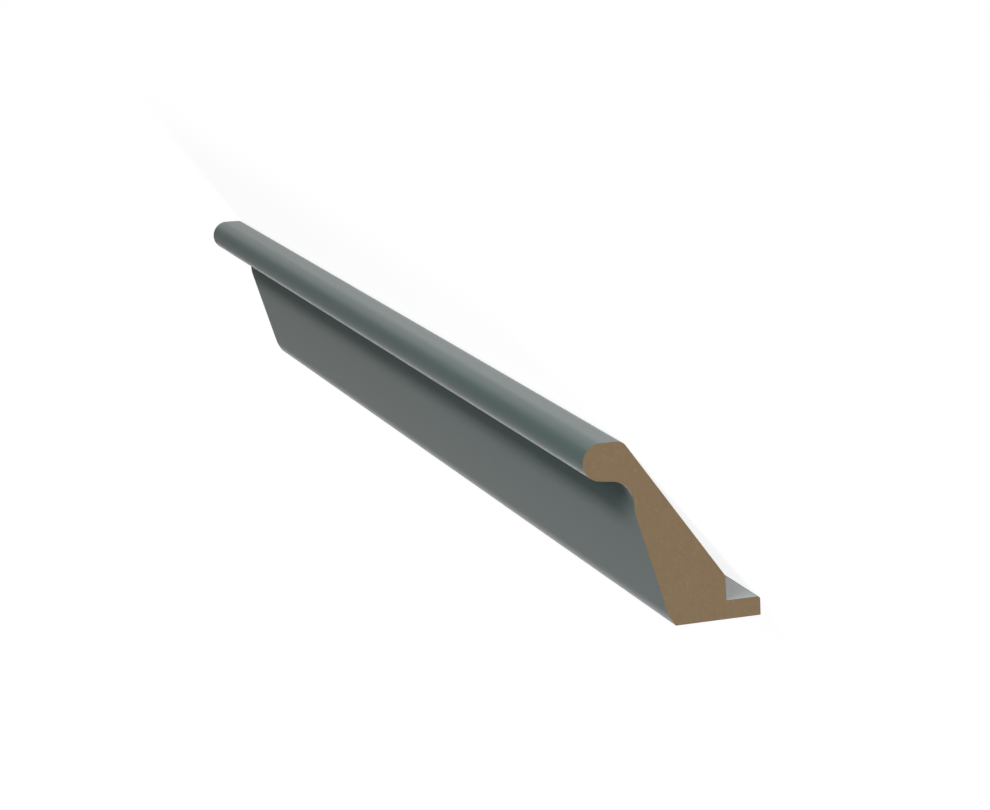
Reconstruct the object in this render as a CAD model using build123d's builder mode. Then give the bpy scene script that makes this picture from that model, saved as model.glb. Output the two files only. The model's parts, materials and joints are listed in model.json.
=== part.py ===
from build123d import *
import os
from math import asin, atan2, cos, degrees, hypot, radians, sin, tan

# Cornice moulding: one straight length of machined fibreboard with a painted face, sawn square at both ends.
# It sits on top of a cupboard. A thin lip runs back from the foot, and the face leans out to a half-round nose.
# The section is drawn as it is fitted: across is measured back from the tip of the lip, so the front is
# negative, and up is measured from the underside of the foot.
# Nothing holds it up when it is loose, because its weight is in front of the foot. So it is stored on its
# back, face up, on the tip of the lip and on the rear corner of the nose, with the nose towards -Y.
# X runs along the piece, and the origin is on the floor under the middle of its box.
# Everything is in millimetres and degrees.

# Overall
length = 500.0
height = 60.0
depth = 56.0

# Lip, and the rebate above it
lip_width = 11.2
lip_thickness = 6.0
lip_arris = 0.9

# Foot, and the eased corner between it and the front face
foot_depth = 28.0
toe_height = 2.7
toe_lean = 35.0
toe_easing = 16.0

# Sloping back
rebate_top = 13.8
back_slope = 55.3

# Front face, and the short upright neck between it and the cove
face_lean = 16.3
neck_across = -40.0
neck_blend = 14.0

# Nose and cove
nose_radius = 6.0
nose_top_fall = 1.6
nose_corner = 3.4
cove_radius = 7.8
underside_slope = 6.0


def across_and_up(start, angle, distance):
    """A point at a distance from another one, with the angle taken up from the rear."""
    return (start[0] + distance * cos(radians(angle)), start[1] + distance * sin(radians(angle)))


# Nose: a half round whose front is the foremost point and whose top is the highest one
nose_centre = (nose_radius - depth, height - nose_radius)
top_normal = 90 - nose_top_fall
underside_normal = 270 - underside_slope

# Cove: it hangs from the sloping underside of the nose and ends upright on the neck
cove_across = neck_across - cove_radius
across_gap = nose_centre[0] - cove_across
slope_gap = nose_radius + cove_radius - across_gap * sin(radians(underside_slope))
cove_centre = (cove_across, nose_centre[1] - slope_gap / cos(radians(underside_slope)))
cove_start_angle = 90 - underside_slope

# Front: the toe leans out from the foot, and the face goes on up to the neck at its own lean
toe = (-foot_depth, 0.0)
toe_top = (toe[0] - toe_height * tan(radians(toe_lean)), toe_height)
face_top = (neck_across, toe_top[1] + (toe_top[0] - neck_across) / tan(radians(face_lean)))

# Back: the slope rises from the rebate to the line of the nose's top
rebate_corner = (-lip_width, rebate_top)
nose_top = across_and_up(nose_centre, top_normal, nose_radius)
top_drop = tan(radians(nose_top_fall))
back_rise = tan(radians(back_slope))
back_run = (nose_top[1] - rebate_top + top_drop * (nose_top[0] + lip_width)) / (back_rise - top_drop)
back_top = (rebate_corner[0] - back_run, rebate_top + back_run * back_rise)

# Resting line: it touches the rounded tip of the lip and the rounded rear corner of the nose
lip_arris_centre = (-lip_arris, lip_thickness - lip_arris)
corner_turn = back_slope - nose_top_fall
corner_setback = nose_corner * tan(radians(corner_turn / 2))
corner_start = across_and_up(back_top, 360 - back_slope, corner_setback)
corner_centre = across_and_up(corner_start, 270 - back_slope, nose_corner)
rest_across = corner_centre[0] - lip_arris_centre[0]
rest_up = corner_centre[1] - lip_arris_centre[1]
centre_line = degrees(atan2(rest_up, rest_across))
rest_angle = centre_line - degrees(asin((nose_corner - lip_arris) / hypot(rest_across, rest_up)))
rest_normal = rest_angle - 90


def lying(point):
    """Where a point of the fitted section is, towards the rear and up, once the piece lies on its back."""
    along = -(point[0] * cos(radians(rest_angle)) + point[1] * sin(radians(rest_angle)))
    depth_in = point[0] * cos(radians(rest_normal)) + point[1] * sin(radians(rest_normal))
    return (along, -depth_in)


floor_level = lying(lip_arris_centre)[1] - lip_arris
rearmost = lying((0.0, 0.0))[0]
foremost = lying(nose_centre)[0] - nose_radius
section_origin = Vector(0, -(rearmost + foremost) / 2, -floor_level)
section_back = Vector(0, *lying((1.0, 0.0)))
section_plane = Plane(origin=section_origin, x_dir=section_back, z_dir=(-1, 0, 0))

with BuildPart() as cornice_moulding:
    with BuildSketch(section_plane) as section:
        with BuildLine() as outline:
            nose = CenterArc(nose_centre, nose_radius, top_normal, underside_normal - top_normal)
            cove = CenterArc(cove_centre, cove_radius, cove_start_angle, -cove_start_angle)
            underside = Line(nose @ 1, cove @ 0)
            front = Polyline(cove @ 1, face_top, toe_top, toe)
            foot_and_lip = Polyline(
                toe,
                (0.0, 0.0),
                (0.0, lip_thickness),
                (-lip_width, lip_thickness),
                rebate_corner,
            )
            back = Polyline(rebate_corner, back_top, nose @ 0)
        make_face()
        fillet(section.vertices().sort_by_distance(face_top)[0], neck_blend)
        fillet(section.vertices().sort_by_distance(toe_top)[0], toe_easing)
        fillet(section.vertices().sort_by_distance(back_top)[0], nose_corner)
        fillet(section.vertices().sort_by_distance((0.0, lip_thickness))[0], lip_arris)
    extrude(amount=length / 2, both=True)

cornice_moulding.part.label = "cornice_moulding"
os.makedirs("parts", exist_ok=True)
export_step(cornice_moulding.part, "parts/cornice_moulding.step")
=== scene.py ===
import json
import logging
from dataclasses import dataclass
from enum import Enum
from math import acos, atan2, cos, degrees, radians, sin, tan

import bpy
from mathutils import Matrix, Quaternion, Vector


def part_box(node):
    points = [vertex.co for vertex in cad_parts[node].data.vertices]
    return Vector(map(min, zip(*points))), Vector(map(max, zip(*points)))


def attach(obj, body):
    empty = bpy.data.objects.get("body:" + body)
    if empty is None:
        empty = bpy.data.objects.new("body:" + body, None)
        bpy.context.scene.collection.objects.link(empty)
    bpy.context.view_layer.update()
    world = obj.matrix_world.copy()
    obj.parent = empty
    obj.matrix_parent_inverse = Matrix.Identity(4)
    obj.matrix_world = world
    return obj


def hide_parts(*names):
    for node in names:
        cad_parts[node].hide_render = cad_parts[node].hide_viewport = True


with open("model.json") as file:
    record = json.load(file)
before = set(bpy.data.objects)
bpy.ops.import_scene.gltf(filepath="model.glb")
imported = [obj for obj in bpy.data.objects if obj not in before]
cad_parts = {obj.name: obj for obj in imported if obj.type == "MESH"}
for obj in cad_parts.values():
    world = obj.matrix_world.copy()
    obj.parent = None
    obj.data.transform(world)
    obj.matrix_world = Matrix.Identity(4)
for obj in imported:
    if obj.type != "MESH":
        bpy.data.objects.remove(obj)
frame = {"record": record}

# A cornice moulding lying on its back on a pale studio floor.
#
# Lengths are in metres. The section is drawn as it is fitted on a cupboard: across is measured back from the
# tip of the fixing lip, so the front is negative, and up is measured from the underside of the foot. The
# record's seat mount says where that underside lies and which way it faces, which places the whole section.
#
# The photograph's camera sees the long faces at a grazing angle, where their paint's bloom makes them pale. The
# lamps on that side give the piece its look there, and the others light the sides that the photograph hides.

log = logging.getLogger("cornice")

NODE = "cornice_moulding"
BODY = "root"
SEAT = "seat"
MM = 0.001

Point = tuple[float, float]
Triple = tuple[float, float, float]
Color = tuple[float, float, float, float]


class Surface(Enum):
    """The kinds of surface. Each value is the surface's place among the moulding's materials."""

    PAINTED = 0
    SAWN = 1
    POOLED = 2


def step_from(start: Point, angle: float, distance: float) -> Point:
    """Find a point at a distance from another.

    Args:
        start: The point to leave.
        angle: Direction in degrees, up from the rear.
        distance: How far to go.

    Returns:
        The point reached.
    """
    return (start[0] + distance * cos(radians(angle)), start[1] + distance * sin(radians(angle)))


@dataclass(frozen=True)
class Arc:
    """A stretch of circle in the section, walked from its start angle through its sweep, in degrees."""

    centre: Point
    radius: float
    start_angle: float
    sweep: float

    @property
    def start(self) -> Point:
        """The first point of the arc."""
        return step_from(self.centre, self.start_angle, self.radius)

    @property
    def end(self) -> Point:
        """The last point of the arc."""
        return step_from(self.centre, self.start_angle + self.sweep, self.radius)


def rounded_corner(before: Point, corner: Point, after: Point, radius: float) -> Arc:
    """Fit an arc into a corner, tangent to both of its sides.

    Args:
        before: A point on the side that leads to the corner.
        corner: The sharp corner.
        after: A point on the side that leaves the corner.
        radius: Radius of the arc.

    Returns:
        The arc, walked from the first side to the second.
    """
    here = Vector(corner)
    back = (Vector(before) - here).normalized()
    ahead = (Vector(after) - here).normalized()
    half_angle = acos(max(-1.0, min(1.0, back.dot(ahead)))) / 2
    middle = (back + ahead).normalized()
    centre = here + middle * (radius / sin(half_angle))
    setback = radius / tan(half_angle)
    first = here + back * setback - centre
    last = here + ahead * setback - centre
    turn = atan2(first.x * last.y - first.y * last.x, first.dot(last))
    return Arc(tuple(centre), radius, degrees(atan2(first.y, first.x)), degrees(turn))


@dataclass(frozen=True)
class Section:
    """Sizes of the moulding's section, and the points and arcs that follow from them."""

    height: float = 60.0 * MM
    depth: float = 56.0 * MM
    lip_width: float = 11.2 * MM
    lip_thickness: float = 6.0 * MM
    lip_arris: float = 0.9 * MM
    foot_depth: float = 28.0 * MM
    toe_height: float = 2.7 * MM
    toe_lean: float = 35.0
    toe_easing: float = 16.0 * MM
    rebate_top: float = 13.8 * MM
    back_slope: float = 55.3
    face_lean: float = 16.3
    neck_across: float = -40.0 * MM
    neck_blend: float = 14.0 * MM
    nose_radius: float = 6.0 * MM
    nose_top_fall: float = 1.6
    nose_corner: float = 3.4 * MM
    cove_radius: float = 7.8 * MM
    underside_slope: float = 6.0
    paint_arris: float = 0.25 * MM
    cutter_corner: float = 0.3 * MM

    @property
    def nose(self) -> Arc:
        """The half-round nose, walked from its top down to its sloping underside."""
        centre = (self.nose_radius - self.depth, self.height - self.nose_radius)
        top = 90 - self.nose_top_fall
        return Arc(centre, self.nose_radius, top, 270 - self.underside_slope - top)

    @property
    def cove(self) -> Arc:
        """The cove, walked from the underside of the nose to the upright neck."""
        across = self.neck_across - self.cove_radius
        gap = self.nose.centre[0] - across
        slope = radians(self.underside_slope)
        drop = (self.nose_radius + self.cove_radius - gap * sin(slope)) / cos(slope)
        turn = 90 - self.underside_slope
        return Arc((across, self.nose.centre[1] - drop), self.cove_radius, turn, -turn)

    def outline(self) -> list[Arc]:
        """List the closed outline from the nose's top, through the front, the foot, the lip and the back.

        Returns:
            The outline's arcs in walking order. Straight lines join each to the next.
        """
        nose, cove = self.nose, self.cove
        heel = (0.0, 0.0)
        toe = (-self.foot_depth, 0.0)
        toe_top = (toe[0] - self.toe_height * tan(radians(self.toe_lean)), self.toe_height)
        face_rise = (toe_top[0] - self.neck_across) / tan(radians(self.face_lean))
        face_top = (self.neck_across, toe_top[1] + face_rise)
        lip_tip = (0.0, self.lip_thickness)
        wall_foot = (-self.lip_width, self.lip_thickness)
        rebate_corner = (-self.lip_width, self.rebate_top)
        top_drop = tan(radians(self.nose_top_fall))
        back_rise = tan(radians(self.back_slope))
        top_gap = nose.start[1] - self.rebate_top + top_drop * (nose.start[0] + self.lip_width)
        back_run = top_gap / (back_rise - top_drop)
        back_top = (rebate_corner[0] - back_run, self.rebate_top + back_run * back_rise)
        return [
            nose,
            cove,
            rounded_corner(cove.end, face_top, toe_top, self.neck_blend),
            rounded_corner(face_top, toe_top, toe, self.toe_easing),
            rounded_corner(toe_top, toe, heel, self.paint_arris),
            rounded_corner(toe, heel, lip_tip, self.paint_arris),
            rounded_corner(heel, lip_tip, wall_foot, self.lip_arris),
            rounded_corner(lip_tip, wall_foot, rebate_corner, self.cutter_corner),
            rounded_corner(wall_foot, rebate_corner, back_top, self.paint_arris),
            rounded_corner(rebate_corner, back_top, nose.start, self.nose_corner),
        ]


@dataclass(frozen=True)
class Lie:
    """How the piece lies in the frame, read from the record's seat mount."""

    turn: float
    heel: Vector

    @classmethod
    def from_record(cls, section: Section) -> "Lie":
        """Read the turn and the heel's place.

        Args:
            section: The section whose foot the seat mount is the middle of.

        Returns:
            The lie of the piece.
        """
        seat = next(mount for mount in frame["record"]["mounts"] if mount["name"] == SEAT)
        axis = Vector(seat["axis"])
        turn = atan2(axis.y, -axis.z)
        rearward = Matrix.Rotation(turn, 3, "X") @ Vector((0, -1, 0))
        return cls(turn, Vector(seat["pos_m"]) + rearward * (section.foot_depth / 2))

    def direction(self, fitted: Vector) -> Vector:
        """Turn a direction of the fitted piece, with its nose towards +Y, into the frame."""
        return Matrix.Rotation(self.turn, 3, "X") @ fitted

    def place(self, point: Point, along: float) -> Vector:
        """Place a point of the section in the frame.

        Args:
            point: Across and up in the section.
            along: Place along the piece.

        Returns:
            The point in the frame.
        """
        spot = self.heel + self.direction(Vector((0, -point[0], point[1])))
        spot.x = along
        return spot


class OutlinePen:
    """Draws an outline in edit mode, by extruding and spinning its last vertex."""

    degrees_per_step: float = 5.0
    fewest_steps: int = 3
    closest: float = MM / 1000

    def __init__(self, name: str, lie: Lie, along: float, start: Point) -> None:
        """Start a mesh of one vertex, and leave it in edit mode.

        Args:
            name: Name of the new object.
            lie: How the piece lies in the frame.
            along: Place of the outline along the piece.
            start: First point of the outline.
        """
        self.lie = lie
        self.along = along
        bpy.ops.object.select_all(action="DESELECT")
        bpy.ops.mesh.primitive_plane_add(size=MM, location=(0, 0, 0))
        self.piece = bpy.context.object
        self.piece.name = name
        bpy.ops.object.mode_set(mode="EDIT")
        bpy.ops.mesh.select_mode(type="VERT")
        bpy.ops.mesh.select_all(action="SELECT")
        bpy.ops.mesh.merge(type="CENTER")
        bpy.ops.transform.translate(value=lie.place(start, along))
        self.here = start

    def line_to(self, point: Point) -> None:
        """Extrude the last vertex to a point.

        Args:
            point: The point of the section to go to.
        """
        step = self.lie.place(point, self.along) - self.lie.place(self.here, self.along)
        bpy.ops.mesh.extrude_vertices_move(TRANSFORM_OT_translate={"value": step})
        self.here = point

    def follow(self, arc: Arc) -> None:
        """Go straight to an arc's start and spin the last vertex along it.

        Args:
            arc: The arc to follow.
        """
        if (Vector(arc.start) - Vector(self.here)).length > self.closest:
            self.line_to(arc.start)
        steps = max(self.fewest_steps, round(abs(arc.sweep) / self.degrees_per_step))
        bpy.ops.mesh.spin(
            steps=steps,
            angle=radians(arc.sweep),
            center=self.lie.place(arc.centre, self.along),
            axis=(1, 0, 0),
        )
        self.here = arc.end


def srgb(red: float, green: float, blue: float) -> Color:
    """Turn a colour given as screen values from 0 to 255 into a linear one.

    Args:
        red: Red screen value.
        green: Green screen value.
        blue: Blue screen value.

    Returns:
        Linear red, green, blue and a full alpha.
    """
    shares = [value / 255 for value in (red, green, blue)]
    linear = [s / 12.92 if s <= 0.04045 else ((s + 0.055) / 1.055) ** 2.4 for s in shares]
    return (linear[0], linear[1], linear[2], 1.0)


@dataclass
class NodeBench:
    """Adds and joins nodes in one node tree."""

    tree: bpy.types.NodeTree

    def add(self, kind: str, **settings: object) -> bpy.types.Node:
        """Add a node.

        Args:
            kind: The node's type name.
            **settings: Properties to set, or input values where the name is an input's, with spaces as _.

        Returns:
            The new node.
        """
        node = self.tree.nodes.new(kind)
        for name, value in settings.items():
            socket = node.inputs.get(name.replace("_", " "))
            if socket is not None:
                socket.default_value = value
            else:
                setattr(node, name, value)
        return node

    def join(self, source: bpy.types.NodeSocket, target: bpy.types.NodeSocket) -> None:
        """Link an output to an input."""
        self.tree.links.new(source, target)


@dataclass(frozen=True)
class Mottle:
    """A node group: soft noise that shifts a colour and a roughness a little, and gives a height."""

    name: str = "soft mottle"
    detail: float = 4.0
    mean: float = 0.5

    def tree(self) -> bpy.types.NodeTree:
        """Find the group, or build it on first use.

        Returns:
            The group with inputs Vector, Stretch, Scale, Color, Color Shift, Roughness and Roughness Shift,
            and outputs Color, Roughness and Height.
        """
        found = bpy.data.node_groups.get(self.name)
        if found:
            return found
        group = bpy.data.node_groups.new(self.name, "ShaderNodeTree")
        sockets = (
            ("Vector", "INPUT", "Vector"),
            ("Stretch", "INPUT", "Vector"),
            ("Scale", "INPUT", "Float"),
            ("Color", "INPUT", "Color"),
            ("Color Shift", "INPUT", "Float"),
            ("Roughness", "INPUT", "Float"),
            ("Roughness Shift", "INPUT", "Float"),
            ("Color", "OUTPUT", "Color"),
            ("Roughness", "OUTPUT", "Float"),
            ("Height", "OUTPUT", "Float"),
        )
        for socket, way, kind in sockets:
            group.interface.new_socket(socket, in_out=way, socket_type="NodeSocket" + kind)
        bench = NodeBench(group)
        given = bench.add("NodeGroupInput")
        result = bench.add("NodeGroupOutput")
        stretch = bench.add("ShaderNodeVectorMath", operation="MULTIPLY")
        noise = bench.add("ShaderNodeTexNoise", Detail=self.detail)
        centred = bench.add("ShaderNodeMath", operation="SUBTRACT")
        centred.inputs[1].default_value = self.mean
        shift = bench.add("ShaderNodeMath", operation="MULTIPLY_ADD")
        shift.inputs[2].default_value = 1.0
        tint = bench.add("ShaderNodeVectorMath", operation="SCALE")
        rough = bench.add("ShaderNodeMath", operation="MULTIPLY_ADD")
        bench.join(given.outputs["Vector"], stretch.inputs[0])
        bench.join(given.outputs["Stretch"], stretch.inputs[1])
        bench.join(stretch.outputs["Vector"], noise.inputs["Vector"])
        bench.join(given.outputs["Scale"], noise.inputs["Scale"])
        bench.join(noise.outputs["Fac"], centred.inputs[0])
        bench.join(centred.outputs[0], shift.inputs[0])
        bench.join(given.outputs["Color Shift"], shift.inputs[1])
        bench.join(given.outputs["Color"], tint.inputs[0])
        bench.join(shift.outputs[0], tint.inputs["Scale"])
        bench.join(centred.outputs[0], rough.inputs[0])
        bench.join(given.outputs["Roughness Shift"], rough.inputs[1])
        bench.join(given.outputs["Roughness"], rough.inputs[2])
        bench.join(tint.outputs["Vector"], result.inputs["Color"])
        bench.join(rough.outputs[0], result.inputs["Roughness"])
        bench.join(noise.outputs["Fac"], result.inputs["Height"])
        return group


@dataclass(frozen=True)
class Mottling:
    """One use of the mottle: its scale, its stretch, and how far it shifts the colour and the roughness."""

    scale: float
    stretch: Triple = (1.0, 1.0, 1.0)
    color_shift: float = 0.0
    roughness_shift: float = 0.0

    def add(self, bench: NodeBench, place: bpy.types.NodeSocket) -> bpy.types.Node:
        """Add the mottle to a material.

        Args:
            bench: The material's node bench.
            place: The coordinates to follow.

        Returns:
            The mottle's group node.
        """
        node = bench.add("ShaderNodeGroup", node_tree=Mottle().tree())
        node.inputs["Scale"].default_value = self.scale
        node.inputs["Stretch"].default_value = self.stretch
        node.inputs["Color Shift"].default_value = self.color_shift
        node.inputs["Roughness Shift"].default_value = self.roughness_shift
        bench.join(place, node.inputs["Vector"])
        return node


@dataclass(frozen=True)
class SatinPaint:
    """Sprayed satin paint: an even dark teal grey, with faint ripples along it and a fine orange peel."""

    name: str = "satin teal grey paint"
    color: Color = srgb(55, 83, 79)
    roughness: float = 0.5
    bloom: float = 0.5
    bloom_roughness: float = 0.5
    shine: float = 0.4
    film_gloss: float = 0.0
    film_roughness: float = 0.08
    clouds: Mottling = Mottling(22.0, stretch=(0.35, 1.0, 1.0), color_shift=0.10, roughness_shift=0.05)
    peel: Mottling = Mottling(420.0, color_shift=0.06, roughness_shift=0.04)
    peel_depth: float = 0.012 * MM
    ripples: Mottling = Mottling(280.0, stretch=(0.08, 1.0, 1.0))
    ripple_depth: float = 0.02 * MM

    def material(self) -> bpy.types.Material:
        """Build the material.

        Returns:
            The paint, ready to assign.
        """
        material = bpy.data.materials.new(self.name)
        material.use_nodes = True
        bench = NodeBench(material.node_tree)
        shader = material.node_tree.nodes["Principled BSDF"]
        shader.inputs["Sheen Weight"].default_value = self.bloom
        shader.inputs["Sheen Roughness"].default_value = self.bloom_roughness
        shader.inputs["Specular IOR Level"].default_value = self.shine
        shader.inputs["Coat Weight"].default_value = self.film_gloss
        shader.inputs["Coat Roughness"].default_value = self.film_roughness
        place = bench.add("ShaderNodeTexCoord").outputs["Object"]
        clouds = self.clouds.add(bench, place)
        clouds.inputs["Color"].default_value = self.color
        clouds.inputs["Roughness"].default_value = self.roughness
        peel = self.peel.add(bench, place)
        ripples = self.ripples.add(bench, place)
        wave = bench.add("ShaderNodeBump", Strength=1.0, Distance=self.ripple_depth)
        bump = bench.add("ShaderNodeBump", Strength=1.0, Distance=self.peel_depth)
        bench.join(ripples.outputs["Height"], wave.inputs["Height"])
        bench.join(wave.outputs["Normal"], bump.inputs["Normal"])
        bench.join(clouds.outputs["Color"], peel.inputs["Color"])
        bench.join(clouds.outputs["Roughness"], peel.inputs["Roughness"])
        bench.join(peel.outputs["Color"], shader.inputs["Base Color"])
        bench.join(peel.outputs["Roughness"], shader.inputs["Roughness"])
        bench.join(peel.outputs["Height"], bump.inputs["Height"])
        bench.join(bump.outputs["Normal"], shader.inputs["Normal"])
        return material


@dataclass(frozen=True)
class SawnFibreboard:
    """A sawn end of fibreboard: brown, matt, with short fibres and faint saw marks."""

    name: str = "sawn fibreboard"
    color: Color = srgb(148, 126, 96)
    roughness: float = 0.92
    shine: float = 0.25
    fibres: Mottling = Mottling(900.0, stretch=(1.0, 0.45, 1.0), color_shift=0.22, roughness_shift=0.08)
    saw_marks: Mottling = Mottling(260.0, stretch=(1.0, 1.0, 0.04), color_shift=0.10)
    relief_depth: float = 0.03 * MM
    fleck_scale: float = 520.0
    fleck_reach: float = 0.3
    fleck_share: float = 0.22
    strand_scale: float = 240.0
    strand_level: float = 0.5
    strand_width: float = 0.012
    patch_scale: float = 384.0
    patch_start: float = 0.52
    patch_full: float = 0.62
    lift: float = 1.1

    def pale_marks(self, bench: NodeBench, place: bpy.types.NodeSocket) -> bpy.types.NodeSocket:
        """Add the mask of the pale marks in the cut: sparse round flecks and short curved strands.

        Args:
            bench: The material's node bench.
            place: The coordinates to follow.

        Returns:
            The mask, 1 on a mark.
        """
        cells = bench.add("ShaderNodeTexVoronoi", Scale=self.fleck_scale)
        spot = bench.add("ShaderNodeMapRange", From_Min=self.fleck_reach, From_Max=self.fleck_reach / 2)
        parts = bench.add("ShaderNodeSeparateColor")
        chosen = bench.add("ShaderNodeMath", operation="LESS_THAN")
        chosen.inputs[1].default_value = self.fleck_share
        fleck = bench.add("ShaderNodeMath", operation="MULTIPLY")
        curves = bench.add("ShaderNodeTexNoise", Scale=self.strand_scale, Detail=1.0)
        strand = bench.add("ShaderNodeMath", operation="COMPARE")
        strand.inputs[1].default_value = self.strand_level
        strand.inputs[2].default_value = self.strand_width
        patches = bench.add("ShaderNodeTexNoise", Scale=self.patch_scale, Detail=0.0)
        kept = bench.add("ShaderNodeMapRange", From_Min=self.patch_start, From_Max=self.patch_full)
        short = bench.add("ShaderNodeMath", operation="MULTIPLY")
        either = bench.add("ShaderNodeMath", operation="MAXIMUM")
        for pattern in (cells, curves, patches):
            bench.join(place, pattern.inputs["Vector"])
        bench.join(cells.outputs["Distance"], spot.inputs["Value"])
        bench.join(cells.outputs["Color"], parts.inputs["Color"])
        bench.join(parts.outputs["Red"], chosen.inputs[0])
        bench.join(spot.outputs["Result"], fleck.inputs[0])
        bench.join(chosen.outputs[0], fleck.inputs[1])
        bench.join(curves.outputs["Fac"], strand.inputs[0])
        bench.join(patches.outputs["Fac"], kept.inputs["Value"])
        bench.join(strand.outputs[0], short.inputs[0])
        bench.join(kept.outputs["Result"], short.inputs[1])
        bench.join(fleck.outputs[0], either.inputs[0])
        bench.join(short.outputs[0], either.inputs[1])
        return either.outputs[0]

    def material(self) -> bpy.types.Material:
        """Build the material.

        Returns:
            The sawn fibreboard, ready to assign.
        """
        material = bpy.data.materials.new(self.name)
        material.use_nodes = True
        bench = NodeBench(material.node_tree)
        shader = material.node_tree.nodes["Principled BSDF"]
        shader.inputs["Specular IOR Level"].default_value = self.shine
        place = bench.add("ShaderNodeTexCoord").outputs["Object"]
        fibres = self.fibres.add(bench, place)
        fibres.inputs["Color"].default_value = self.color
        fibres.inputs["Roughness"].default_value = self.roughness
        marks = self.saw_marks.add(bench, place)
        relief = bench.add("ShaderNodeMath", operation="ADD")
        bump = bench.add("ShaderNodeBump", Strength=1.0, Distance=self.relief_depth)
        lifted = bench.add("ShaderNodeVectorMath", operation="SCALE", Scale=self.lift)
        mixed = bench.add("ShaderNodeMix", data_type="RGBA")
        bench.join(fibres.outputs["Color"], marks.inputs["Color"])
        bench.join(fibres.outputs["Roughness"], marks.inputs["Roughness"])
        bench.join(self.pale_marks(bench, place), mixed.inputs["Factor"])
        bench.join(marks.outputs["Color"], lifted.inputs[0])
        bench.join(marks.outputs["Color"], mixed.inputs["A"])
        bench.join(lifted.outputs["Vector"], mixed.inputs["B"])
        bench.join(mixed.outputs["Result"], shader.inputs["Base Color"])
        bench.join(marks.outputs["Roughness"], shader.inputs["Roughness"])
        bench.join(fibres.outputs["Height"], relief.inputs[0])
        bench.join(marks.outputs["Height"], relief.inputs[1])
        bench.join(relief.outputs[0], bump.inputs["Height"])
        bench.join(bump.outputs["Normal"], shader.inputs["Normal"])
        return material


@dataclass
class Moulding:
    """The moulding: one length of the section, with painted long faces and sawn ends."""

    section: Section = Section()
    paint: SatinPaint = SatinPaint()
    sawn: SawnFibreboard = SawnFibreboard()
    pooled: SatinPaint = SatinPaint("pooled teal grey paint", film_gloss=1.0)
    smooth_angle: float = 35.0
    weld_distance: float = MM / 200
    end_facing: float = 0.9
    pool_reach: float = 0.25

    def build(self) -> bpy.types.Object:
        """Draw the section at one end and extrude it to the other.

        Returns:
            The moulding's object, with its place in its mesh.
        """
        low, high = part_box(NODE)
        lie = Lie.from_record(self.section)
        outline = self.section.outline()
        pen = OutlinePen("moulding", lie, low.x, outline[0].start)
        for arc in outline:
            pen.follow(arc)
        pen.line_to(outline[0].start)
        bpy.ops.mesh.select_all(action="SELECT")
        bpy.ops.mesh.remove_doubles(threshold=self.weld_distance)
        bpy.ops.mesh.edge_face_add()
        bpy.ops.mesh.extrude_region_move(TRANSFORM_OT_translate={"value": (high.x - low.x, 0, 0)})
        bpy.ops.mesh.select_all(action="SELECT")
        bpy.ops.mesh.normals_make_consistent(inside=False)
        bpy.ops.object.mode_set(mode="OBJECT")
        bpy.ops.object.transform_apply(location=True, rotation=True, scale=True)
        bpy.ops.object.shade_smooth_by_angle(angle=radians(self.smooth_angle))
        return pen.piece

    def surface_of(self, polygon: bpy.types.MeshPolygon, lie: Lie) -> Surface:
        """Tell which surface a face belongs to.

        Args:
            polygon: A face of the moulding.
            lie: How the piece lies in the frame.

        Returns:
            Sawn for the ends, pooled for the lip's top, where the paint gathers, and painted for the rest.
        """
        if abs(polygon.normal.x) > self.end_facing:
            return Surface.SAWN
        lip_middle = lie.place((-self.section.lip_width / 2, self.section.lip_thickness), polygon.center.x)
        if (polygon.center - lip_middle).length < self.section.lip_width * self.pool_reach:
            return Surface.POOLED
        return Surface.PAINTED

    def dress(self, piece: bpy.types.Object) -> None:
        """Give the long faces their paint and the ends their sawn board, attach the piece to its body and hide
        the CAD part.

        Args:
            piece: The object that build made.
        """
        finishes = {Surface.PAINTED: self.paint, Surface.SAWN: self.sawn, Surface.POOLED: self.pooled}
        for surface in Surface:
            piece.data.materials.append(finishes[surface].material())
        lie = Lie.from_record(self.section)
        for polygon in piece.data.polygons:
            polygon.material_index = self.surface_of(polygon, lie).value
        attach(piece, BODY)
        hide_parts(NODE)
        log.info("%s: %d faces", piece.name, len(piece.data.polygons))


def bearing_of(azimuth: float, elevation: float) -> Vector:
    """Turn a bearing into a direction.

    Args:
        azimuth: Angle in degrees from +X towards +Y.
        elevation: Angle in degrees above the horizon.

    Returns:
        The direction, of length 1.
    """
    flat = cos(radians(elevation))
    return Vector((cos(radians(azimuth)) * flat, sin(radians(azimuth)) * flat, sin(radians(elevation))))


@dataclass(frozen=True)
class Softbox:
    """A rectangular area lamp that faces the piece, placed by its bearing."""

    name: str
    azimuth: float
    elevation: float
    width: float
    height: float
    radiance: float
    distance: float = 1.5

    def place(self) -> bpy.types.Object:
        """Add the lamp, turned to face the piece.

        Returns:
            The lamp's object.
        """
        bearing = bearing_of(self.azimuth, self.elevation)
        bpy.ops.object.light_add(type="AREA", location=bearing * self.distance)
        lamp = bpy.context.object
        lamp.name = self.name
        lamp.rotation_mode = "QUATERNION"
        lamp.rotation_quaternion = bearing.to_track_quat("Z", "Y")
        lamp.visible_camera = False
        lamp.data.shape = "RECTANGLE"
        lamp.data.size = self.width
        lamp.data.size_y = self.height
        lamp.data.energy = 4 * self.width * self.height * self.radiance
        return lamp


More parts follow.
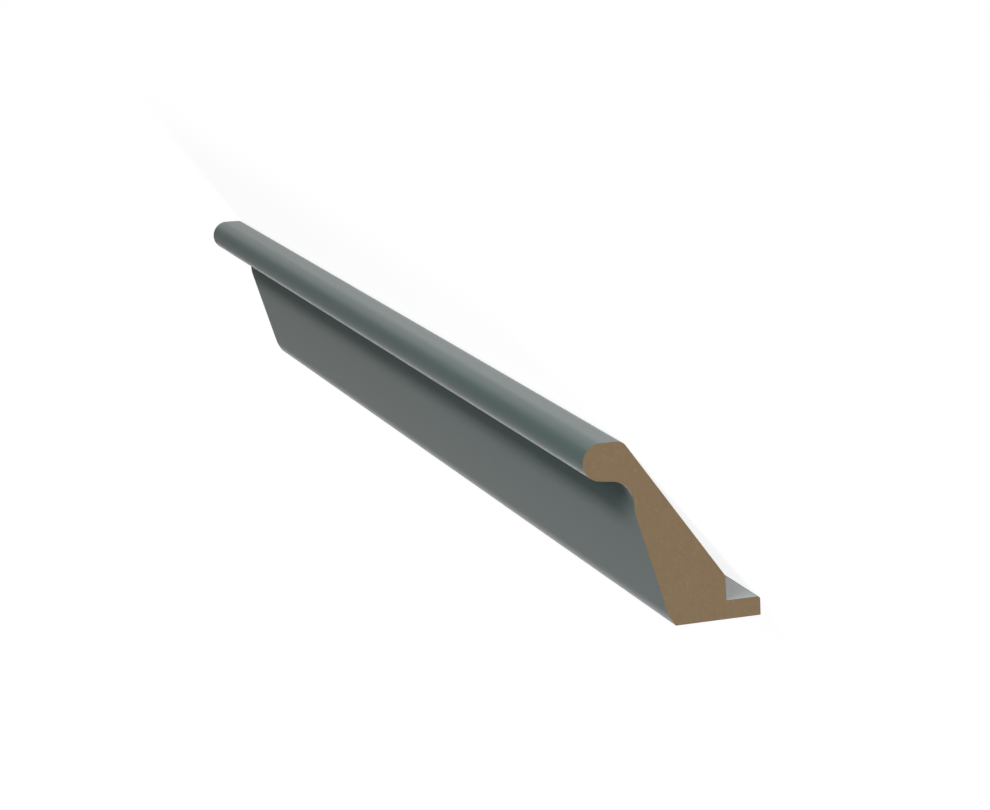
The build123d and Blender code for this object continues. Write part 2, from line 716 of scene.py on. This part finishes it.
@dataclass(frozen=True)
class Studio:
    """The pale floor, the room's light and the lamps."""

    floor_size: float = 12.0
    floor_color: Color = (0.8, 0.8, 0.8, 1.0)
    shadow_color: Color = (0.3, 0.3, 0.3, 1.0)
    shadow_glow: float = 0.89
    shadow_reach: float = 0.35
    shadow_end: float = 0.8
    room_strength: float = 0.02
    white_strength: float = 1.0
    lamps: tuple[Softbox, ...] = (
        Softbox("low strip light", azimuth=236.0, elevation=3.0, width=1.12, height=0.16, radiance=11.4),
        Softbox("front softbox", azimuth=236.0, elevation=21.5, width=1.12, height=0.5, radiance=3.4),
        Softbox("end softbox", azimuth=135.0, elevation=9.0, width=0.55, height=0.45, radiance=7.3),
        Softbox("far softbox", azimuth=50.0, elevation=7.0, width=0.8, height=0.3, radiance=22.0),
        Softbox("overhead softbox", azimuth=240.0, elevation=65.0, width=0.55, height=0.5, radiance=2.5),
    )

    def lay_floor(self) -> None:
        """Lay the floor, white to the eye and in reflections, with the piece's faint shadow kept on it."""
        bpy.ops.object.select_all(action="DESELECT")
        bpy.ops.mesh.primitive_plane_add(size=self.floor_size, location=(0, 0, 0))
        floor = bpy.context.object
        floor.name = "studio_floor"
        material = bpy.data.materials.new("pale floor")
        material.use_nodes = True
        material.cycles.emission_sampling = "NONE"
        bench = NodeBench(material.node_tree)
        material.node_tree.nodes.clear()
        rays = bench.add("ShaderNodeLightPath")
        place = bench.add("ShaderNodeTexCoord")
        radius = bench.add("ShaderNodeVectorMath", operation="LENGTH")
        clear = bench.add("ShaderNodeMapRange", From_Min=self.shadow_reach, From_Max=self.shadow_end)
        lit = bench.add("ShaderNodeBsdfDiffuse", Color=self.floor_color)
        shaded = bench.add("ShaderNodeBsdfDiffuse", Color=self.shadow_color)
        glow = bench.add("ShaderNodeEmission", Strength=self.shadow_glow)
        both = bench.add("ShaderNodeAddShader")
        white = bench.add("ShaderNodeEmission", Strength=self.white_strength)
        near = bench.add("ShaderNodeMixShader")
        mirrored = bench.add("ShaderNodeMath", operation="MAXIMUM")
        reflected = bench.add("ShaderNodeMixShader")
        seen = bench.add("ShaderNodeMixShader")
        surface = bench.add("ShaderNodeOutputMaterial")
        bench.join(place.outputs["Object"], radius.inputs[0])
        bench.join(radius.outputs["Value"], clear.inputs["Value"])
        bench.join(shaded.outputs[0], both.inputs[0])
        bench.join(glow.outputs[0], both.inputs[1])
        bench.join(clear.outputs["Result"], near.inputs[0])
        bench.join(both.outputs[0], near.inputs[1])
        bench.join(white.outputs[0], near.inputs[2])
        bench.join(rays.outputs["Is Glossy Ray"], mirrored.inputs[0])
        bench.join(rays.outputs["Is Transmission Ray"], mirrored.inputs[1])
        bench.join(mirrored.outputs[0], reflected.inputs[0])
        bench.join(lit.outputs[0], reflected.inputs[1])
        bench.join(white.outputs[0], reflected.inputs[2])
        bench.join(rays.outputs["Is Camera Ray"], seen.inputs[0])
        bench.join(reflected.outputs[0], seen.inputs[1])
        bench.join(near.outputs[0], seen.inputs[2])
        bench.join(seen.outputs[0], surface.inputs["Surface"])
        floor.data.materials.append(material)
        log.info("%s laid", floor.name)

    def light_room(self) -> None:
        """Make the world: white to the eye, and a faint even light for everything else.

        The long faces are seen at a grazing angle, so a world that is white in reflections would make them
        much too pale.
        """
        world = bpy.data.worlds.new("studio room")
        bpy.context.scene.world = world
        world.use_nodes = True
        world.cycles.sampling_method = "NONE"
        bench = NodeBench(world.node_tree)
        world.node_tree.nodes.clear()
        rays = bench.add("ShaderNodeLightPath")
        level = bench.add("ShaderNodeMapRange", To_Min=self.room_strength, To_Max=self.white_strength)
        light = bench.add("ShaderNodeBackground", Color=(1.0, 1.0, 1.0, 1.0))
        sky = bench.add("ShaderNodeOutputWorld")
        bench.join(rays.outputs["Is Camera Ray"], level.inputs["Value"])
        bench.join(level.outputs["Result"], light.inputs["Strength"])
        bench.join(light.outputs[0], sky.inputs["Surface"])

    def build(self) -> None:
        """Lay the floor, light the room and set up the lamps."""
        self.lay_floor()
        self.light_room()
        for softbox in self.lamps:
            softbox.place()
            log.info("%s placed", softbox.name)


@dataclass(frozen=True)
class Camera:
    """The photograph's camera. Its bearing and roll are those of the fitted piece, and it turns with it."""

    azimuth: float = 163.0617
    elevation: float = 11.9261
    roll: float = -2.6303
    distance: float = 1.2709
    aim: Triple = (-0.007786, 0.017091, -0.003101)
    lens: float = 123.5136
    sensor: float = 36.0
    nearest: float = 0.01
    farthest: float = 50.0

    def place(self, lie: Lie) -> None:
        """Add the camera and make it the scene's.

        Args:
            lie: How the piece lies in the frame.
        """
        back = bearing_of(self.azimuth, self.elevation)
        look = back.to_track_quat("Z", "Y") @ Quaternion((0, 0, 1), radians(self.roll))
        look = Quaternion((1, 0, 0), lie.turn) @ look
        bpy.ops.object.camera_add(location=Vector(self.aim) + lie.direction(back) * self.distance)
        camera = bpy.context.object
        camera.name = "photograph camera"
        camera.rotation_mode = "QUATERNION"
        camera.rotation_quaternion = look
        camera.data.lens = self.lens
        camera.data.sensor_width = self.sensor
        camera.data.clip_start = self.nearest
        camera.data.clip_end = self.farthest
        bpy.context.scene.camera = camera
        log.info("%s placed", camera.name)


def main() -> None:
    """Build the moulding, the studio and the camera."""
    logging.basicConfig(level=logging.INFO)
    bpy.context.scene.view_settings.view_transform = "Standard"
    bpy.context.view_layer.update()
    moulding = Moulding()
    moulding.dress(moulding.build())
    Studio().build()
    Camera().place(Lie.from_record(moulding.section))


if __name__ == "__main__":
    main()
